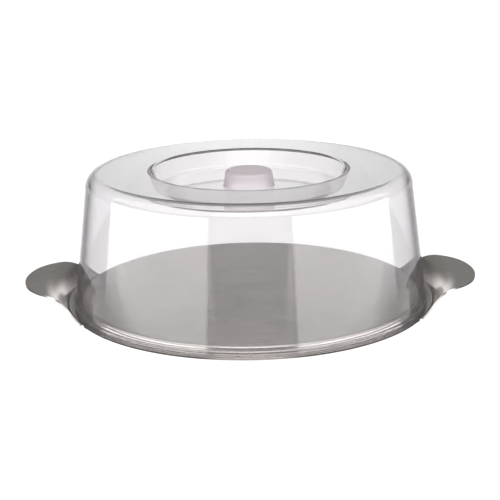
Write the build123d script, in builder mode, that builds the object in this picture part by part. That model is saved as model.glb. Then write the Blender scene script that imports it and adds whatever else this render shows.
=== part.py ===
# Cake platter with a clear hood: a pressed stainless steel platter with two wing handles,
# and an injection-moulded plastic hood that stands on its rim and lifts off.
# Millimetres, +Z up, the table at z = 0, the wings along X.

import os
from math import acos, atan2, cos, degrees, hypot, radians, sin, tan

from build123d import *

os.makedirs("parts", exist_ok=True)

# Platter: one blank of sheet steel
sheet = 1.2
rim_radius = 150.0
rim_width = 10.2
platform_height = 7.7
step_angle = 75.0
step_bend = 2.0

# Wings: the same sheet, bent up outside the rim to a level grip
wing_length = 37.6
tip_height = 19.6
rise_angle = 58.0
root_bend = 3.0
grip_bend = 17.0
grip_slope = 2.4
tip_arc = 73.2
tip_arc_half_angle = 19.6
corner_arc = 44.2
wing_root_arc = 71.6

# Hood: one moulding, with a sunk well and a knob in its top
wall = 2.5
hood_clearance = 0.7
hood_height = 109.3
wall_draft = 7.4
bead_height = 3.8
bead_width = 1.0
bead_round = 0.6
shoulder_round = 11.0
well_radius = 80.0
well_floor_radius = 75.0
well_depth = 14.7
well_edge_round = 2.0
well_floor_round = 3.0

knob_base_radius = 20.7
knob_top_radius = 19.1
knob_height = 13.3
knob_edge_round = 3.8
knob_root_round = 1.5
knob_dish = 0.6
knob_dish_radius = 15.0
gate_mark_radius = 1.6
gate_mark_depth = 0.3

# Where the sheet's middle layer turns, from the table up
half_sheet = sheet / 2
platform_radius = rim_radius - rim_width
wing_reach = rim_radius + wing_length
rim_middle = half_sheet
platform_middle = platform_height - half_sheet
step_foot = platform_radius + (platform_middle - rim_middle) / tan(radians(step_angle))
rim_flat_start = step_foot + step_bend * tan(radians(step_angle / 2))
wing_root = rim_radius + root_bend * tan(radians(rise_angle / 2))
tip_middle = tip_height - half_sheet
rise = tan(radians(rise_angle))
slope = tan(radians(grip_slope))
grip_start = (rise * wing_root - rim_middle + tip_middle - slope * wing_reach) / (rise - slope)


def grip_middle(radius):
    """Height of the grip's middle layer at a radius."""
    return tip_middle - (wing_reach - radius) * slope


# The pressed section runs past the wings' tips, and the blank's outline, which reaches this
# far above and below it, trims it
trim_margin = 4.0
section_end = wing_reach + trim_margin


def quarter_outline():
    """The blank's edge from the rim's side to the wing's tip arc, each arc tangent to the next."""
    shift = tip_arc - corner_arc
    corner_x = wing_reach - tip_arc + shift * cos(radians(tip_arc_half_angle))
    corner_y = shift * sin(radians(tip_arc_half_angle))
    # The root arc lies outside both the rim and the corner arc, and touches them
    from_centre = rim_radius + wing_root_arc
    from_corner = corner_arc + wing_root_arc
    corner_distance = hypot(corner_x, corner_y)
    spread = acos(
        (corner_distance**2 + from_centre**2 - from_corner**2)
        / (2 * corner_distance * from_centre)
    )
    root_bearing = degrees(atan2(corner_y, corner_x) + spread)
    root_x = from_centre * cos(radians(root_bearing))
    root_y = from_centre * sin(radians(root_bearing))
    corner_end = degrees(atan2(root_y - corner_y, root_x - corner_x))
    CenterArc((0, 0), rim_radius, root_bearing, 90 - root_bearing)
    CenterArc((root_x, root_y), wing_root_arc, 180 + root_bearing, corner_end - root_bearing)
    CenterArc(
        (corner_x, corner_y), corner_arc, tip_arc_half_angle, corner_end - tip_arc_half_angle
    )


with BuildPart() as platter:
    with BuildSketch(Plane.XZ):
        with BuildLine():
            FilletPolyline(
                (0, platform_middle),
                (platform_radius, platform_middle),
                (step_foot, rim_middle),
                (wing_root, rim_middle),
                (grip_start, grip_middle(grip_start)),
                (section_end, grip_middle(section_end)),
                radius=[step_bend, step_bend, root_bend, grip_bend],
            )
        trace(line_width=sheet)
    revolve(axis=Axis.Z)
    with BuildSketch(Plane.XY.offset(-trim_margin)):
        with BuildLine():
            quarter_outline()
            mirror(about=Plane.XZ)
            tip_centre = (wing_reach - tip_arc, 0)
            CenterArc(tip_centre, tip_arc, -tip_arc_half_angle, 2 * tip_arc_half_angle)
            mirror(about=Plane.YZ)
        make_face()
    extrude(amount=tip_height + 2 * trim_margin, mode=Mode.INTERSECT)

platter.part.label = "platter"
export_step(platter.part, "parts/platter.step")

# The hood's foot stands on the rim's top, outside the step that centres it
foot_height = sheet
top_height = foot_height + hood_height
bead_top = foot_height + bead_height
floor_height = top_height - well_depth
knob_top = floor_height + knob_height
level_wall = wall / cos(radians(wall_draft))
foot_inner_radius = rim_flat_start + hood_clearance
foot_outer_radius = foot_inner_radius + level_wall
well_wall_slope = (well_radius - well_floor_radius) / well_depth


def wall_radius(height):
    """Outside radius of the hood's drafted wall at a height."""
    return foot_outer_radius - (height - foot_height) * tan(radians(wall_draft))


def well_outside_radius(height):
    """Radius of the well wall's hidden side at a height."""
    return well_floor_radius + wall + (height - floor_height + wall) * well_wall_slope


with BuildPart() as hood:
    with BuildSketch(Plane.XZ):
        with BuildLine():
            corners = {
                (0, knob_top): 0,
                (knob_top_radius, knob_top): knob_edge_round,
                (knob_base_radius, floor_height): knob_root_round,
                (well_floor_radius, floor_height): well_floor_round,
                (well_radius, top_height): well_edge_round,
                (wall_radius(top_height), top_height): shoulder_round,
                (wall_radius(bead_top), bead_top): 0,
                (foot_outer_radius + bead_width, bead_top): bead_round,
                (foot_outer_radius + bead_width, foot_height): 0,
                (foot_inner_radius, foot_height): 0,
                (wall_radius(top_height - wall) - level_wall, top_height - wall):
                    shoulder_round - wall,
                (well_outside_radius(top_height - wall), top_height - wall): 0,
                (well_outside_radius(floor_height - wall), floor_height - wall):
                    well_floor_round + wall,
                (knob_base_radius - wall, floor_height - wall): knob_root_round + wall,
                (knob_top_radius - wall, knob_top - wall): 0,
                (0, knob_top - wall): 0,
            }
            FilletPolyline(*corners.keys(), radius=list(corners.values()), close=True)
        make_face()
    revolve(axis=Axis.Z)
    # The knob's top is dished, with the mould's gate mark in the middle
    with BuildSketch(Plane.XZ):
        with BuildLine():
            edge = (knob_dish_radius, knob_top)
            ThreePointArc((-knob_dish_radius, knob_top), (0, knob_top - knob_dish), edge)
            Line(edge, (-knob_dish_radius, knob_top))
        make_face()
        split(bisect_by=Plane.YZ)
    revolve(axis=Axis.Z, mode=Mode.SUBTRACT)
    with Locations((0, 0, knob_top - knob_dish)):
        Cylinder(gate_mark_radius, 2 * gate_mark_depth, mode=Mode.SUBTRACT)

hood.part.label = "hood"
export_step(hood.part, "parts/hood.step")
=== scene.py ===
"""A pressed stainless steel cake platter with two wing handles, under a clear moulded hood that
stands on its rim and lifts off by a frosted knob."""

from math import acos, atan2, cos, hypot, pi, radians, sin, tan

import bpy
import numpy as np
from mathutils import Matrix, Vector


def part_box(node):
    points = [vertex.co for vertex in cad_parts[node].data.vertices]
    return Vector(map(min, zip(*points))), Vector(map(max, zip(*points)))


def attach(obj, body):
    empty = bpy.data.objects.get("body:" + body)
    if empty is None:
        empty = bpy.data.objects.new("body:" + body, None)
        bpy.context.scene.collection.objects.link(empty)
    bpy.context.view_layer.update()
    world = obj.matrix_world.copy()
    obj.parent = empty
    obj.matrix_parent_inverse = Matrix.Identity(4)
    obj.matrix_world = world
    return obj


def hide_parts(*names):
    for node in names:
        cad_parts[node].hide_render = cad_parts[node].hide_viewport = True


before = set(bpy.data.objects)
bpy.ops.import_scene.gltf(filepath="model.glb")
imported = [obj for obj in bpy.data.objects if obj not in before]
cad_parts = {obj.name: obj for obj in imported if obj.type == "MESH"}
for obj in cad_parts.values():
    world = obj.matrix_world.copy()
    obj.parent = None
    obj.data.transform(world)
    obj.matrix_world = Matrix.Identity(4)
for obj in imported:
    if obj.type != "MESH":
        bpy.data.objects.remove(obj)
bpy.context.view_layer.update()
mm = 0.001


# The platter is one blank of 1.2 mm stainless sheet, pressed to a raised platform and a flat rim
# that stands on the table. Its two wings bend up out of the rim to a level grip, and the cut edge
# is tumbled round.
sheet = 1.2 * mm
rim_radius = 150 * mm
rim_width = 10.2 * mm
platform_radius = rim_radius - rim_width
platform_height = 7.7 * mm
step_angle = radians(75)
step_bend = 2 * mm
wing_length = 37.6 * mm
wing_reach = rim_radius + wing_length
tip_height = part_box("platter")[1].z
rise_angle = radians(58)
root_bend = 3 * mm
grip_bend = 17 * mm
grip_slope = radians(2.4)
tip_arc = 73.2 * mm
tip_arc_half_angle = radians(19.6)
corner_arc = 44.2 * mm
wing_root_arc = 71.6 * mm
edge_round = 0.35 * mm
bend_steps = 24


def rounded(corners, rounds, steps):
    """Points along a section whose inner corners are rounded by arcs tangent to both sides."""
    points = [corners[0]]
    for before, corner, after, round_ in zip(corners, corners[1:], corners[2:], rounds):
        before, corner, after = map(Vector, (before, corner, after))
        towards, away = (before - corner).normalized(), (after - corner).normalized()
        half = towards.angle(away) / 2
        centre = corner + (towards + away).normalized() * round_ / sin(half)
        start = corner + towards * round_ / tan(half) - centre
        turn = (pi - 2 * half) * (1 if towards.cross(away) < 0 else -1)
        points += [tuple(centre + Matrix.Rotation(turn * i / steps, 2) @ start)
                   for i in range(steps + 1)]
    return points + [corners[-1]]


def grip_middle(radius):
    """Height of the grip's middle layer at a radius."""
    return tip_height - sheet / 2 - (wing_reach - radius) * tan(grip_slope)


platform_middle = platform_height - sheet / 2
rim_middle = sheet / 2
step_foot = platform_radius + (platform_middle - rim_middle) / tan(step_angle)
wing_root = rim_radius + root_bend * tan(rise_angle / 2)
grip_start = (tan(rise_angle) * wing_root - rim_middle + grip_middle(0)) / (
    tan(rise_angle) - tan(grip_slope))
section = np.array(rounded(
    [(0, platform_middle), (platform_radius, platform_middle), (step_foot, rim_middle),
     (wing_root, rim_middle), (grip_start, grip_middle(grip_start)),
     (wing_reach + sheet, grip_middle(wing_reach + sheet))],
    [step_bend, step_bend, root_bend, grip_bend], bend_steps))

# The wing's plan: tip arc, corner arc, and a root arc that lies outside the rim and the corner
tip_x = wing_reach - tip_arc
corner_x = tip_x + (tip_arc - corner_arc) * cos(tip_arc_half_angle)
corner_y = (tip_arc - corner_arc) * sin(tip_arc_half_angle)
corner_distance = hypot(corner_x, corner_y)
from_centre = rim_radius + wing_root_arc
root_bearing = atan2(corner_y, corner_x) + acos(
    (corner_distance**2 + from_centre**2 - (corner_arc + wing_root_arc) ** 2)
    / (2 * corner_distance * from_centre))
root_x, root_y = from_centre * cos(root_bearing), from_centre * sin(root_bearing)
corner_end = atan2(root_y - corner_y, root_x - corner_x)
tip_bearing = atan2(tip_arc * sin(tip_arc_half_angle),
                    tip_x + tip_arc * cos(tip_arc_half_angle))
corner_bearing = atan2(corner_y + corner_arc * sin(corner_end),
                       corner_x + corner_arc * cos(corner_end))


def blank_radius(bearing):
    """How far the blank's edge is from the platter's axis, at a bearing from +X."""
    along, across = abs(cos(bearing)), abs(sin(bearing))
    bearing = atan2(across, along)
    if bearing >= root_bearing:
        return rim_radius
    if bearing < tip_bearing:
        x, y, arc, side = tip_x, 0, tip_arc, 1
    elif bearing < corner_bearing:
        x, y, arc, side = corner_x, corner_y, corner_arc, 1
    else:
        x, y, arc, side = root_x, root_y, wing_root_arc, -1
    middle = x * along + y * across
    return middle + side * (arc**2 - x**2 - y**2 + middle**2) ** 0.5


# The mesh is a polar grid on the sheet's middle layer. Its outer band, from the flat rim outwards,
# widens with the wings, and every point takes its height from the pressed section. The band's
# rings are shares of its width, and lie closer together over the wing's root bend. The spokes are
# as many as keep the piece under 200,000 triangles.
spokes = 448
band_width = 4 * mm
step_margin = 4 * mm
platform_rings = np.array([45, 90, 125]) * mm
root_rings = np.linspace(0, 0.24, 18)[1:]
wing_rings = np.linspace(0.26, 1, 32)
bearings = np.linspace(0, 2 * pi, spokes, endpoint=False)
band_start = rim_radius - band_width
in_step = (section[:, 0] > platform_radius - step_margin) & (section[:, 0] < band_start)
inner_radii = np.concatenate([platform_rings, section[in_step, 0], [band_start]])
blank_edge = np.array([blank_radius(bearing) for bearing in bearings])
rings = [np.full(spokes, radius) for radius in inner_radii]
rings += [band_start + (blank_edge - band_start) * share
          for share in np.concatenate([root_rings, wing_rings])]
radii = np.array(rings)
heights = np.interp(radii, section[:, 0], section[:, 1])
points = np.stack([radii * np.cos(bearings), radii * np.sin(bearings), heights], axis=2)
faces = [(0, 1 + i, 1 + (i + 1) % spokes) for i in range(spokes)]
for ring in range(len(rings) - 1):
    near, far = 1 + ring * spokes, 1 + (ring + 1) * spokes
    faces += [(near + i, far + i, far + (i + 1) % spokes, near + (i + 1) % spokes)
              for i in range(spokes)]
middle_layer = bpy.data.meshes.new("platter_sheet")
middle_layer.from_pydata([(0, 0, platform_middle), *points.reshape(-1, 3).tolist()], [], faces)
middle_layer.polygons.foreach_set("use_smooth", [True] * len(faces))
platter = bpy.data.objects.new("pressed_platter", middle_layer)
bpy.context.scene.collection.objects.link(platter)
wall = platter.modifiers.new("wall", "SOLIDIFY")
wall.thickness = sheet
wall.offset = 0
wall.use_even_offset = True
tumbled = platter.modifiers.new("tumbled_edge", "BEVEL")
tumbled.width = edge_round
tumbled.segments = 3
tumbled.limit_method = "ANGLE"
tumbled.angle_limit = radians(60)


def to_plain_mesh(piece):
    """Lets flat faces lead the shading of the rounds, and makes the piece a plain mesh."""
    shine = piece.modifiers.new("even_shine", "WEIGHTED_NORMAL")
    shine.mode = "FACE_AREA"
    shine.weight = 80
    seen = piece.evaluated_get(bpy.context.evaluated_depsgraph_get())
    mesh = bpy.data.meshes.new_from_object(seen)
    piece.modifiers.clear()
    piece.data = mesh


def linear(code):
    """An sRGB hex colour as linear RGBA."""
    channels = [int(code[i:i + 2], 16) / 255 for i in (1, 3, 5)]
    return [c / 12.92 if c <= 0.04045 else ((c + 0.055) / 1.055) ** 2.4 for c in channels] + [1]


def add_node(tree, kind, inputs={}, **settings):
    """Adds a node with its settings. Each input takes a value or another node's output."""
    node = tree.nodes.new(kind)
    for name, value in settings.items():
        setattr(node, name, value)
    for key, value in inputs.items():
        if isinstance(value, bpy.types.NodeSocket):
            tree.links.new(value, node.inputs[key])
        else:
            node.inputs[key].default_value = value
    return node


def satin_stainless_steel():
    """Rolled 18/10 sheet with a satin finish: fine straight grain from wing to wing leaves slight
    streaks and blurs what the sheet mirrors, and handling has left faint cloudy patches."""
    material = bpy.data.materials.new("satin_stainless_steel")
    material.use_nodes = True
    tree = material.node_tree
    tree.nodes.clear()
    place = add_node(tree, "ShaderNodeTexCoord").outputs["Object"]
    # The real grain is about 0.1 mm apart, and is drawn at 0.8 mm so that it shows
    grain_length, grain_width, cloud_size = 30 * mm, 0.8 * mm, 28 * mm
    along = add_node(tree, "ShaderNodeMapping", {
        "Vector": place, "Scale": (1 / grain_length, 1 / grain_width, 1 / grain_width)})
    grain = add_node(tree, "ShaderNodeTexNoise", {
        "Vector": along.outputs["Vector"], "Scale": 1, "Detail": 3, "Roughness": 0.6})
    cloud = add_node(tree, "ShaderNodeTexNoise", {
        "Vector": place, "Scale": 1 / cloud_size, "Detail": 3, "Roughness": 0.5})
    # Each noise runs from about 0.35 to 0.65, and their blend from about 0.55 to 1.05
    blend = add_node(tree, "ShaderNodeMath", {
        0: grain.outputs["Fac"], 1: 0.6, 2: cloud.outputs["Fac"]}, operation="MULTIPLY_ADD")
    roughness = add_node(tree, "ShaderNodeMapRange", {
        "Value": blend.outputs["Value"], "From Min": 0.55, "From Max": 1.05,
        "To Min": 0.13, "To Max": 0.22})
    bump = add_node(tree, "ShaderNodeBump", {
        "Height": grain.outputs["Fac"], "Strength": 0.05, "Distance": 0.02 * mm})
    streaks = add_node(tree, "ShaderNodeMapRange", {
        "Value": grain.outputs["Fac"], "From Min": 0.35, "From Max": 0.65})
    colour = add_node(tree, "ShaderNodeMix", {
        "Factor": streaks.outputs["Result"], 6: linear("#C0BAB5"), 7: linear("#CCC7C3")},
        data_type="RGBA")
    shader = add_node(tree, "ShaderNodeBsdfPrincipled", {
        "Base Color": colour.outputs[2], "Metallic": 1.0,
        "Roughness": roughness.outputs["Result"], "Normal": bump.outputs["Normal"]})
    add_node(tree, "ShaderNodeOutputMaterial", {"Surface": shader.outputs["BSDF"]})
    return material


platter.data.materials.append(satin_stainless_steel())
to_plain_mesh(platter)
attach(platter, "platter")
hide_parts("platter")


# The hood is one injection moulding of clear plastic, 2.5 mm thick: a drafted wall with a bead at
# its foot, a rounded shoulder, and a well sunk in its top for the knob. Only the knob's outside is
# frosted, by a textured mould, and has the mark of the mould's gate in the middle of its top.
hood_wall = 2.5 * mm
step_clearance = 0.7 * mm
draft = radians(7.4)
foot_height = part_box("hood")[0].z
top_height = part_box("hood")[1].z
foot_inner = step_foot + step_bend * tan(step_angle / 2) + step_clearance
level_wall = hood_wall / cos(draft)
foot_outer = foot_inner + level_wall
foot_round = 0.4 * mm
bead_height = 3.8 * mm
bead_width = 1 * mm
bead_top = foot_height + bead_height
bead_outer = foot_outer + bead_width
bead_round = 0.6 * mm
bead_root = 0.8 * mm
shoulder_round = 11 * mm
well_radius = 80 * mm
well_floor_radius = 75 * mm
well_depth = 14.7 * mm
floor_height = top_height - well_depth
well_edge_round = 2 * mm
well_floor_round = 3 * mm
inner_round = 0.6 * mm
knob_base = 20.7 * mm
knob_top_radius = 19.1 * mm
knob_height = 13.3 * mm
knob_top = floor_height + knob_height
knob_edge_round = 3.8 * mm
knob_foot_round = 0.8 * mm
knob_root_round = 1.5 * mm
dish_depth = 0.6 * mm
dish_radius = 15 * mm
gate_radius = 1.6 * mm
gate_depth = 0.3 * mm
gate_round = 0.1 * mm


def wall_radius(height):
    """Outside radius of the drafted wall at a height."""
    return foot_outer - (height - foot_height) * tan(draft)


def well_outside(height):
    """Radius of the well wall's hidden side at a height."""
    slope = (well_radius - well_floor_radius) / (top_height - floor_height)
    return well_floor_radius + hood_wall + (height - floor_height + hood_wall) * slope


def dish_height(radius):
    """Height of the knob's dished top at a radius."""
    return knob_top - dish_depth * (1 - (radius / dish_radius) ** 2)


under_top = top_height - hood_wall
under_floor = floor_height - hood_wall
dish = [dish_radius * share for share in (0.3, 0.5, 0.7, 0.85, 1)]
# Each corner of the hood's section: its radius and height, its round, and 1 where it is frosted
hood_section = [
    (0, dish_height(0) - gate_depth, 0, 1),
    (gate_radius, dish_height(0) - gate_depth, gate_round, 1),
    (gate_radius + gate_round, dish_height(gate_radius), gate_round, 1),
    *[(radius, dish_height(radius), 0, 1) for radius in dish],
    (knob_top_radius, knob_top, knob_edge_round, 1),
    (knob_base, floor_height, knob_foot_round, 1),
    (well_floor_radius, floor_height, well_floor_round, 0),
    (well_radius, top_height, well_edge_round, 0),
    (wall_radius(top_height), top_height, shoulder_round, 0),
    (wall_radius(bead_top), bead_top, bead_root, 0),
    (bead_outer, bead_top, bead_round, 0),
    (bead_outer, foot_height, foot_round, 0),
    (foot_inner, foot_height, foot_round, 0),
    (wall_radius(under_top) - level_wall, under_top, shoulder_round - hood_wall, 0),
    (well_outside(under_top), under_top, inner_round, 0),
    (well_outside(under_floor), under_floor, well_floor_round + hood_wall, 0),
    (knob_base - hood_wall, under_floor, knob_root_round + hood_wall, 0),
    (knob_top_radius - hood_wall, knob_top - hood_wall, inner_round, 0),
    (0, knob_top - hood_wall, 0, 0)]


def moulded_clear_plastic(name, colour, edge_shade_colour, roughness, grit_size, clearness):
    """Clear plastic as moulded. A polished mould leaves it glossy, with a faint unevenness, and a
    spark-eroded one leaves a fine grit that scatters what shows through. Where the wall is seen
    edge on, its colour is painted darker, grey with a touch of violet: painted shade on the edges."""
    grit_depth = 0.02 * mm
    material = bpy.data.materials.new(name)
    material.use_nodes = True
    tree = material.node_tree
    tree.nodes.clear()
    place = add_node(tree, "ShaderNodeTexCoord").outputs["Object"]
    grain = add_node(tree, "ShaderNodeTexNoise", {
        "Vector": place, "Scale": 1 / grit_size, "Detail": 2, "Roughness": 0.5})
    haze = add_node(tree, "ShaderNodeMapRange", {
        "Value": grain.outputs["Fac"], "From Min": 0.3, "From Max": 0.7,
        "To Min": roughness * 0.8, "To Max": roughness * 1.2})
    bump = add_node(tree, "ShaderNodeBump", {
        "Height": grain.outputs["Fac"], "Strength": 1, "Distance": grit_depth})
    # The painted edge shade starts where the wall is seen 70 degrees off square and is full at 83
    # degrees. The level top and floor go without it.
    facing = add_node(tree, "ShaderNodeLayerWeight", {"Blend": 0.5})
    edge_on = add_node(tree, "ShaderNodeMapRange", {
        "Value": facing.outputs["Facing"], "From Min": 0.66, "From Max": 0.88},
        interpolation_type="SMOOTHSTEP")
    upright = add_node(tree, "ShaderNodeSeparateXYZ", {
        "Vector": add_node(tree, "ShaderNodeNewGeometry").outputs["Normal"]})
    level = add_node(tree, "ShaderNodeMath", {0: upright.outputs["Z"]}, operation="ABSOLUTE")
    wall = add_node(tree, "ShaderNodeMapRange", {
        "Value": level.outputs["Value"], "From Min": 1.0, "From Max": 0.94},
        interpolation_type="SMOOTHSTEP")
    # How much painted shade the wall's colour takes where it is seen edge on
    painted_edge_shade = add_node(tree, "ShaderNodeMath", {
        0: edge_on.outputs["Result"], 1: wall.outputs["Result"]}, operation="MULTIPLY")
    colour_and_edge_shade = add_node(tree, "ShaderNodeMix", {
        "Factor": painted_edge_shade.outputs["Value"], 6: linear(colour), 7: linear(edge_shade_colour)},
        data_type="RGBA")
    shader = add_node(tree, "ShaderNodeBsdfPrincipled", {
        "Base Color": colour_and_edge_shade.outputs[2], "Roughness": haze.outputs["Result"], "IOR": 1.57,
        "Transmission Weight": clearness, "Normal": bump.outputs["Normal"]})
    # Shadow rays go straight through, because the thin wall hardly bends the light
    through = add_node(tree, "ShaderNodeBsdfTransparent", {"Color": linear("#F4F0F4")})
    shadow = add_node(tree, "ShaderNodeLightPath").outputs["Is Shadow Ray"]
    both = add_node(tree, "ShaderNodeMixShader", {
        0: shadow, 1: shader.outputs["BSDF"], 2: through.outputs["BSDF"]})
    add_node(tree, "ShaderNodeOutputMaterial", {"Surface": both.outputs["Shader"]})
    return material


# Each plastic's second colour is painted shade, put on where its wall is seen edge on
clear = moulded_clear_plastic(
    "polished_clear_plastic", "#F7F6F7", "#4E464E", roughness=0.02, grit_size=60 * mm,
    clearness=0.985)
# The real grit is about 0.05 mm across, and is drawn at 0.5 mm so that it shows
frosted = moulded_clear_plastic(
    "frosted_clear_plastic", "#F8F0F4", "#E0D6DC", roughness=0.42, grit_size=0.5 * mm,
    clearness=0.7)


def turned_section():
    """A Geometry Nodes tree that rounds the corners of a section and turns it about Z."""
    tree = bpy.data.node_groups.new("turned_section", "GeometryNodeTree")
    face = tree.interface
    face.new_socket("Section", in_out="INPUT", socket_type="NodeSocketGeometry")
    face.new_socket("Turns", in_out="INPUT", socket_type="NodeSocketInt")
    face.new_socket("Round Steps", in_out="INPUT", socket_type="NodeSocketInt")
    face.new_socket("Path Radius", in_out="INPUT", socket_type="NodeSocketFloat")
    face.new_socket("Piece", in_out="OUTPUT", socket_type="NodeSocketGeometry")
    given = add_node(tree, "NodeGroupInput").outputs
    line = add_node(tree, "GeometryNodeMeshToCurve", {"Mesh": given["Section"]})
    corner = add_node(tree, "GeometryNodeInputNamedAttribute", {"Name": "corner_round"},
                      data_type="FLOAT")
    round_line = add_node(tree, "GeometryNodeFilletCurve", {
        "Curve": line.outputs["Curve"], "Radius": corner.outputs["Attribute"],
        "Count": given["Round Steps"], "Limit Radius": True}, mode="POLY")
    # The path's own axes are outwards and down, so the section is set out in them
    spot = add_node(tree, "ShaderNodeSeparateXYZ", {
        "Vector": add_node(tree, "GeometryNodeInputPosition").outputs["Position"]})
    outward = add_node(tree, "ShaderNodeMath", {
        0: spot.outputs["X"], 1: given["Path Radius"]}, operation="SUBTRACT")
    down = add_node(tree, "ShaderNodeMath", {0: spot.outputs["Z"], 1: -1.0}, operation="MULTIPLY")
    laid = add_node(tree, "ShaderNodeCombineXYZ", {
        "X": outward.outputs["Value"], "Y": down.outputs["Value"]})
    profile = add_node(tree, "GeometryNodeSetPosition", {
        "Geometry": round_line.outputs["Curve"], "Position": laid.outputs["Vector"]})
    path = add_node(tree, "GeometryNodeCurvePrimitiveCircle", {
        "Resolution": given["Turns"], "Radius": given["Path Radius"]})
    skin = add_node(tree, "GeometryNodeCurveToMesh", {
        "Curve": path.outputs["Curve"], "Profile Curve": profile.outputs["Geometry"]})
    closed = add_node(tree, "GeometryNodeMergeByDistance", {
        "Geometry": skin.outputs["Mesh"], "Distance": 0.001 * mm})
    smooth = add_node(tree, "GeometryNodeSetShadeSmooth", {"Geometry": closed.outputs["Geometry"]})
    real = add_node(tree, "GeometryNodeRealizeInstances", {"Geometry": smooth.outputs["Geometry"]})
    polished = add_node(tree, "GeometryNodeSetMaterial", {
        "Geometry": real.outputs["Geometry"], "Material": clear})
    etched = add_node(tree, "GeometryNodeInputNamedAttribute", {"Name": "frosted"},
                      data_type="FLOAT")
    is_etched = add_node(tree, "FunctionNodeCompare", {
        0: etched.outputs["Attribute"], 1: 0.5}, operation="GREATER_THAN")
    done = add_node(tree, "GeometryNodeSetMaterial", {
        "Geometry": polished.outputs["Geometry"], "Selection": is_etched.outputs["Result"],
        "Material": frosted})
    add_node(tree, "NodeGroupOutput", {"Piece": done.outputs["Geometry"]})
    return tree


outline = bpy.data.meshes.new("hood_section")
outline.from_pydata([(radius, 0, height) for radius, height, _, _ in hood_section],
                    [(i, i + 1) for i in range(len(hood_section) - 1)], [])
for name, column in (("corner_round", 2), ("frosted", 3)):
    values = outline.attributes.new(name, "FLOAT", "POINT")
    values.data.foreach_set("value", [float(corner[column]) for corner in hood_section])
hood = bpy.data.objects.new("clear_hood", outline)
bpy.context.scene.collection.objects.link(hood)
turned = hood.modifiers.new("turned_section", "NODES")
turned.node_group = turned_section()
turning = {"Turns": 360, "Round Steps": 11, "Path Radius": 100 * mm}
for socket in turned.node_group.interface.items_tree:
    if socket.name in turning:
        turned[socket.identifier] = turning[socket.name]
to_plain_mesh(hood)
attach(hood, "hood")
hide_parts("hood")


# The studio: a white floor that keeps a soft shadow, in front of a white backdrop. What the steel
# and the plastic mirror is not these but the room's own panels of light. The floor is left out of
# what they mirror, so the panels go on below it.
floor_radius = 6.0
floor_drop = 0.3 * mm
floor_sides = 64
floor_corners = [(floor_radius * cos(bearing), floor_radius * sin(bearing), -floor_drop)
                 for bearing in np.linspace(0, 2 * pi, floor_sides, endpoint=False)]
floor_mesh = bpy.data.meshes.new("floor")
floor_mesh.from_pydata(floor_corners, [], [tuple(range(floor_sides))])
floor = bpy.data.objects.new("floor", floor_mesh)
bpy.context.scene.collection.objects.link(floor)
floor.visible_glossy = False


def lit_paper():
    """Matt white paper, lit from behind where it is looked at or seen through the plastic, so
    that it is white there and lights nothing."""
    material = bpy.data.materials.new("white_paper")
    material.use_nodes = True
    tree = material.node_tree
    tree.nodes.clear()
    rays = add_node(tree, "ShaderNodeLightPath").outputs
    seen = add_node(tree, "ShaderNodeMath", {
        0: rays["Is Camera Ray"], 1: rays["Is Transmission Ray"]}, operation="MAXIMUM")
    paper = add_node(tree, "ShaderNodeBsdfDiffuse", {"Color": linear("#7A7A7A")})
    glow = add_node(tree, "ShaderNodeEmission", {"Strength": 0.94})
    bright = add_node(tree, "ShaderNodeAddShader", {
        0: paper.outputs["BSDF"], 1: glow.outputs["Emission"]})
    both = add_node(tree, "ShaderNodeMixShader", {
        0: seen.outputs["Value"], 1: paper.outputs["BSDF"], 2: bright.outputs["Shader"]})
    add_node(tree, "ShaderNodeOutputMaterial", {"Surface": both.outputs["Shader"]})
    return material


floor.data.materials.append(lit_paper())

world = bpy.data.worlds.new("studio")
world.use_nodes = True
tree = world.node_tree
tree.nodes.clear()
way = add_node(tree, "ShaderNodeSeparateXYZ", {
    "Vector": add_node(tree, "ShaderNodeTexCoord").outputs["Generated"]}).outputs
bearing = add_node(tree, "ShaderNodeMath", {
    0: add_node(tree, "ShaderNodeMath", {0: way["X"], 1: way["Y"]},
                operation="ARCTAN2").outputs["Value"]}, operation="ABSOLUTE").outputs["Value"]
rise = add_node(tree, "ShaderNodeMath", {0: way["Z"]}, operation="ARCSINE").outputs["Value"]


def between(value, low, high, soft):
    """1 where an angle is between two others, in degrees, and 0 past their soft edges."""
    steps = [add_node(tree, "ShaderNodeMapRange", {
        "Value": value, "From Min": radians(a), "From Max": radians(b)},
        interpolation_type="SMOOTHSTEP") for a, b in (
            (low - soft, low + soft), (high + soft, high - soft))]
    return add_node(tree, "ShaderNodeMath", {
        0: steps[0].outputs["Result"], 1: steps[1].outputs["Result"]}, operation="MULTIPLY")


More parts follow.
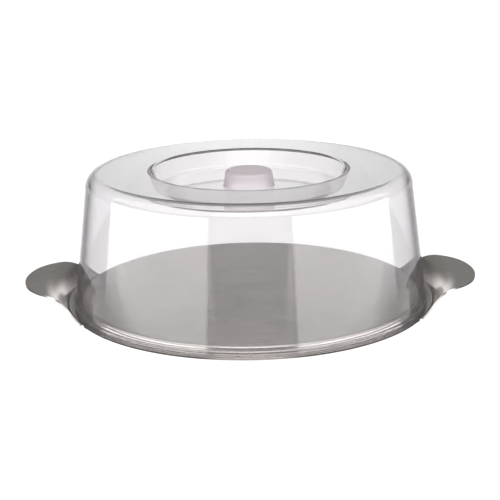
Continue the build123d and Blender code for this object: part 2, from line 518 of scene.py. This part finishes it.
# Each panel, the same on the left and the right: its bearings from the back and their softness,
# its heights over the horizon and theirs, in degrees, and its light. Where two cross, both count.
room_level = 0.17
panels = {
    "white card, low behind": (-90, 23, 11, -90, 5, 11, 1.3),
    "its brighter and higher middle": (-90, 5, 4, -90, 14, 5, 0.65),
    "dark room, low at the sides": (60, 155, 6, -90, -4, 4, 0.05),
    "pale table, low in front": (155, 200, 5, -90, 0, 5, 0.7),
    "softbox at each side": (72, 152, 1.5, -9, 9, 2, 3.4),
    "dim wall, high behind": (-90, 27, 8, 3, 65, 7, 0.28),
    "pale walls, high at the sides": (60, 152, 6, 24, 65, 5, 1.3),
    "softbox, high in front": (152, 200, 3, 25, 65, 3, 2.2),
    "ceiling": (-90, 200, 3, 65, 95, 4, 1.0)}
light = room_level
for from_bearing, to_bearing, side_soft, low, high, rise_soft, level in panels.values():
    across = between(bearing, from_bearing, to_bearing, side_soft)
    upward = between(rise, low, high, rise_soft)
    shape = add_node(tree, "ShaderNodeMath", {
        0: across.outputs["Value"], 1: upward.outputs["Value"]}, operation="MULTIPLY")
    added = add_node(tree, "ShaderNodeMath", {
        0: shape.outputs["Value"], 1: level - room_level, 2: 0.0}, operation="MULTIPLY_ADD")
    light = add_node(tree, "ShaderNodeMath", {0: light, 1: added.outputs["Value"]},
                     operation="ADD").outputs["Value"]
room = add_node(tree, "ShaderNodeBackground", {"Color": light, "Strength": 1})
backdrop = add_node(tree, "ShaderNodeBackground", {"Color": (1, 1, 1, 1), "Strength": 1})
camera_ray = add_node(tree, "ShaderNodeLightPath").outputs["Is Camera Ray"]
both = add_node(tree, "ShaderNodeMixShader", {
    0: camera_ray, 1: room.outputs["Background"], 2: backdrop.outputs["Background"]})
add_node(tree, "ShaderNodeOutputWorld", {"Surface": both.outputs["Shader"]})
bpy.context.scene.world = world

# The camera stands where the photograph's did, a little above the hood and in front of it
camera_distance = 1.0151
camera_elevation = radians(16.07)
camera_turn = radians(-0.53)
camera_roll = radians(-0.942)
camera_lens = 87.61
aim_height = 40.1 * mm
lens = bpy.data.cameras.new("camera")
lens.lens = camera_lens
lens.sensor_width = 36
camera = bpy.data.objects.new("camera", lens)
bpy.context.scene.collection.objects.link(camera)
camera.matrix_world = (
    Matrix.Translation((0, 0, aim_height))
    @ Matrix.Rotation(camera_turn, 4, "Z")
    @ Matrix.Rotation(pi / 2 - camera_elevation, 4, "X")
    @ Matrix.Rotation(camera_roll, 4, "Z")
    @ Matrix.Translation((0, 0, camera_distance)))
scene = bpy.context.scene
scene.camera = camera
scene.view_settings.view_transform = "Standard"
scene.cycles.sampling_pattern = "TABULATED_SOBOL"
# Enough bounces for light that crosses the hood's wall many times
scene.cycles.transmission_bounces = 64
scene.cycles.glossy_bounces = 16
scene.cycles.max_bounces = 64
